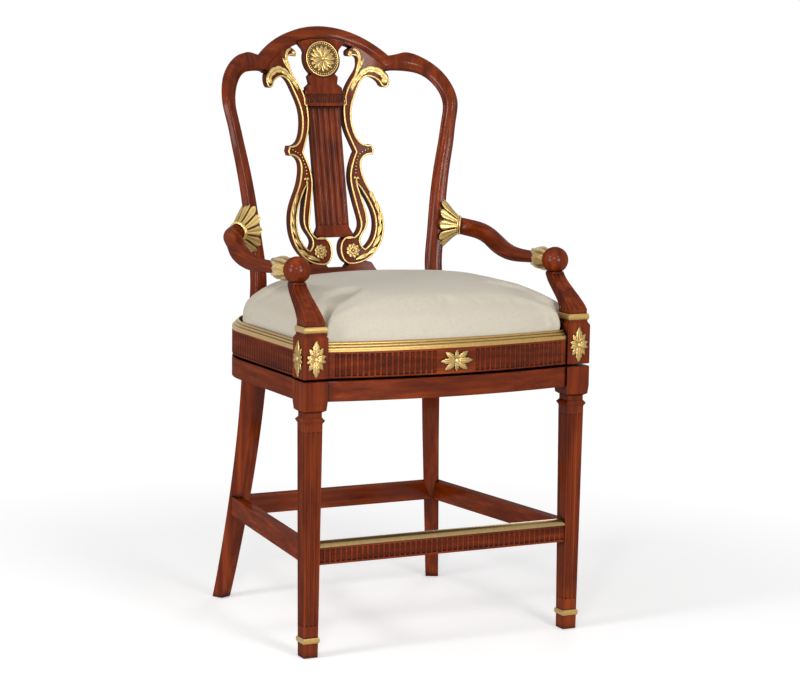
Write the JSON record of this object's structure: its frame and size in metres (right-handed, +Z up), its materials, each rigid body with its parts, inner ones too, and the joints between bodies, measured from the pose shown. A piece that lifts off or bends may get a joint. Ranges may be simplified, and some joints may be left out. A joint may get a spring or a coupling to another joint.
{
  "type": "counter chair",
  "caption": "Counter-height armchair with a lyre back and padded seat that swivels on a fluted leg frame with a footrest.",
  "frame": {"origin": "middle of the overall width and depth, on the floor", "axes": "+Z up, the chair faces -Y, +X towards the right arm as seen from in front"},
  "size_m": [0.6184, 0.6585, 1.1691],
  "materials": {
    "mahogany": "reddish brown, polished, darker in the recesses",
    "gilt": "antique gold leaf on carved wood",
    "brass": "aged, satin",
    "beech": "plain, inside",
    "plywood": "plain, inside",
    "steel": "zinc plated",
    "nylon": "brown nylon",
    "linen": "plain woven linen"
  },
  "bodies": {
    "base": {"front_leg_left": "mahogany", "front_leg_right": "mahogany", "rear_leg_left": "mahogany", "rear_leg_right": "mahogany", "apron_front": "mahogany", "apron_left": "mahogany", "apron_right": "mahogany", "apron_rear": "mahogany", "footrest_rail": "mahogany", "stretcher_left": "mahogany", "stretcher_right": "mahogany", "stretcher_rear": "mahogany", "foot_collar_left": "gilt", "foot_collar_right": "gilt", "footrest_cap": "brass", "footrest_cap_pins": "brass", "base_bearer_front": "beech", "base_bearer_rear": "beech", "swivel_lower_plate": "steel", "swivel_balls": "steel", "lower_plate_screws": "steel", "foot_glides": "nylon"},
    "seat": {"seat_rail_front": "mahogany", "seat_rail_left": "mahogany", "seat_rail_right": "mahogany", "seat_rail_rear": "mahogany", "arm_post_left": "mahogany", "arm_post_right": "mahogany", "arm_knob_left": "mahogany", "arm_knob_right": "mahogany", "arm_left": "mahogany", "arm_right": "mahogany", "back_post_left": "mahogany", "back_post_right": "mahogany", "crest_rail": "mahogany", "lyre_left": "mahogany", "lyre_right": "mahogany", "splat_column": "mahogany", "splat_shoe": "mahogany", "arm_cup_left": "gilt", "arm_cup_right": "gilt", "arm_palmette_left": "gilt", "arm_palmette_right": "gilt", "post_collar_left": "gilt", "post_collar_right": "gilt", "seat_moulding_front": "gilt", "seat_moulding_left": "gilt", "seat_moulding_right": "gilt", "medallion": "gilt", "lyre_rosettes": "gilt", "block_rosettes": "gilt", "rail_rosette": "gilt", "seat_bearer_front": "beech", "seat_bearer_rear": "beech", "seat_deck": "plywood", "swivel_upper_plate": "steel", "swivel_rivet": "steel", "upper_plate_screws": "steel", "seat_cushion": "linen"}
  },
  "joints": [
    {"name": "seat_swivel", "type": "hinge", "parent": "base", "child": "seat", "pos_m": [0, -0.0583, 0.529], "axis": [0, 0, 1], "continuous": true}
  ]
}
